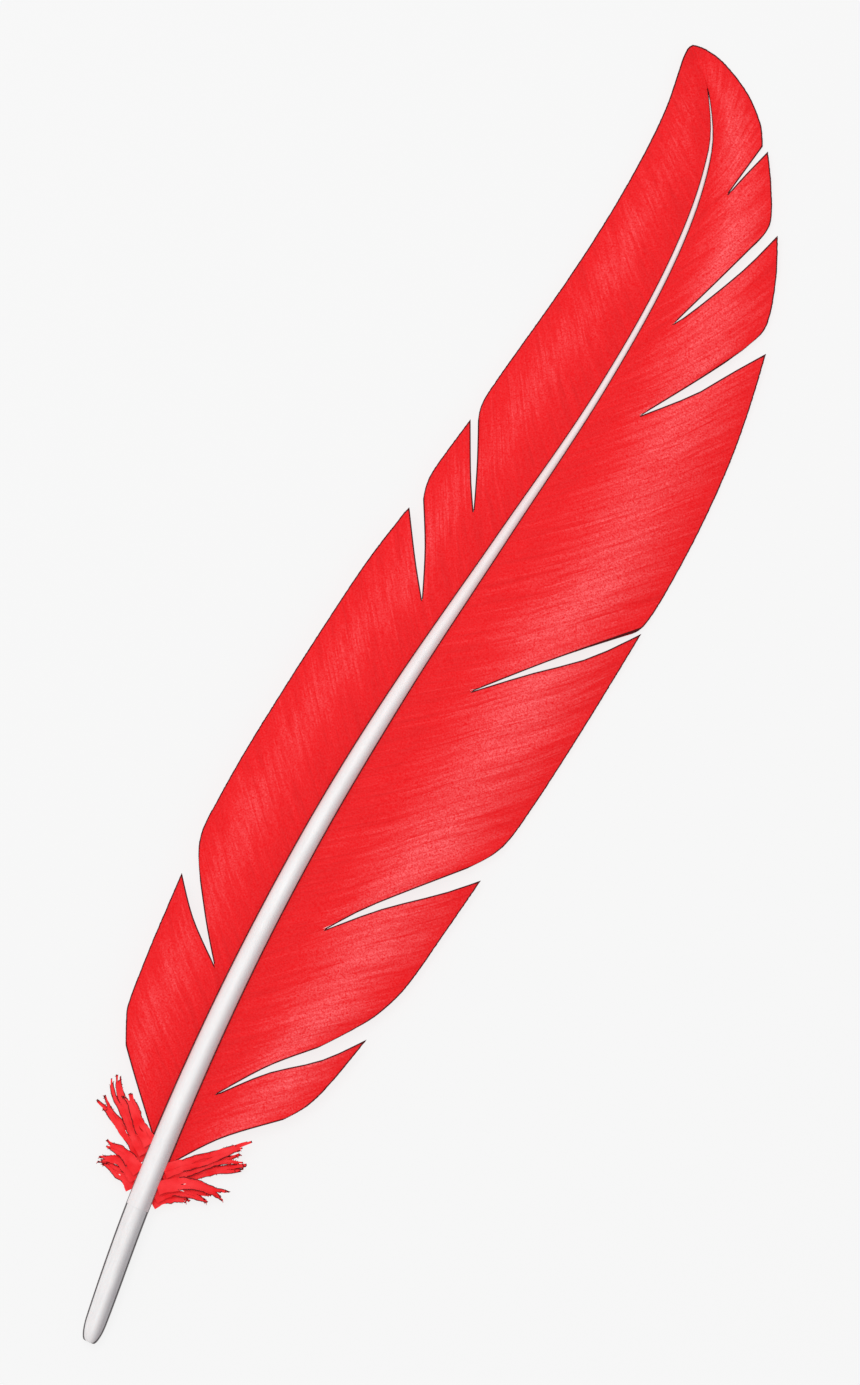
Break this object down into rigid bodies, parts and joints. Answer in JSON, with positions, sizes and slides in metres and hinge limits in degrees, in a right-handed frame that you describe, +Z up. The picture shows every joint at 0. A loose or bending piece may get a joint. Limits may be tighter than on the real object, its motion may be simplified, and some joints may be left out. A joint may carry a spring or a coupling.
{
  "type": "wing feather",
  "caption": "Single red-dyed wing quill feather: hollow quill, tapering curved shaft, wide right and narrow left vane parted into groups, loose down at the base.",
  "frame": {"origin": "on the surface that the feather lies on, under the middle of its overall box", "axes": "+Y from the butt of the quill to the tip, +X towards the wide right vane, +Z up, away from the surface it lies on"},
  "size_m": [0.0682, 0.2996, 0.0095],
  "materials": {
    "quill_horn": "satin, slightly see-through horn",
    "rachis_horn": "satin horn",
    "pith": "dry foam",
    "pulp_membrane": "dry, thin skin",
    "dyed_vane": "satin, streaked along the barbs",
    "dyed_down": "soft, matt"
  },
  "bodies": {
    "root": {"calamus": "quill_horn", "rachis_cortex": "rachis_horn", "rachis_pith": "pith", "pulp_cap_1": "pulp_membrane", "pulp_cap_2": "pulp_membrane", "pulp_cap_3": "pulp_membrane", "pulp_cap_4": "pulp_membrane", "pulp_cap_5": "pulp_membrane", "pulp_cap_6": "pulp_membrane", "vane_left_1": "dyed_vane", "vane_left_2": "dyed_vane", "vane_left_3": "dyed_vane", "vane_left_4": "dyed_vane", "vane_right_1": "dyed_vane", "vane_right_2": "dyed_vane", "vane_right_3": "dyed_vane", "vane_right_4": "dyed_vane", "vane_right_5": "dyed_vane", "vane_right_6": "dyed_vane", "vane_right_7": "dyed_vane", "down_left_1": "dyed_down", "down_left_2": "dyed_down", "down_left_3": "dyed_down", "down_left_4": "dyed_down", "down_left_5": "dyed_down", "down_left_6": "dyed_down", "down_right_1": "dyed_down", "down_right_2": "dyed_down", "down_right_3": "dyed_down", "down_right_4": "dyed_down", "down_right_5": "dyed_down", "down_right_6": "dyed_down"}
  },
  "joints": []
}
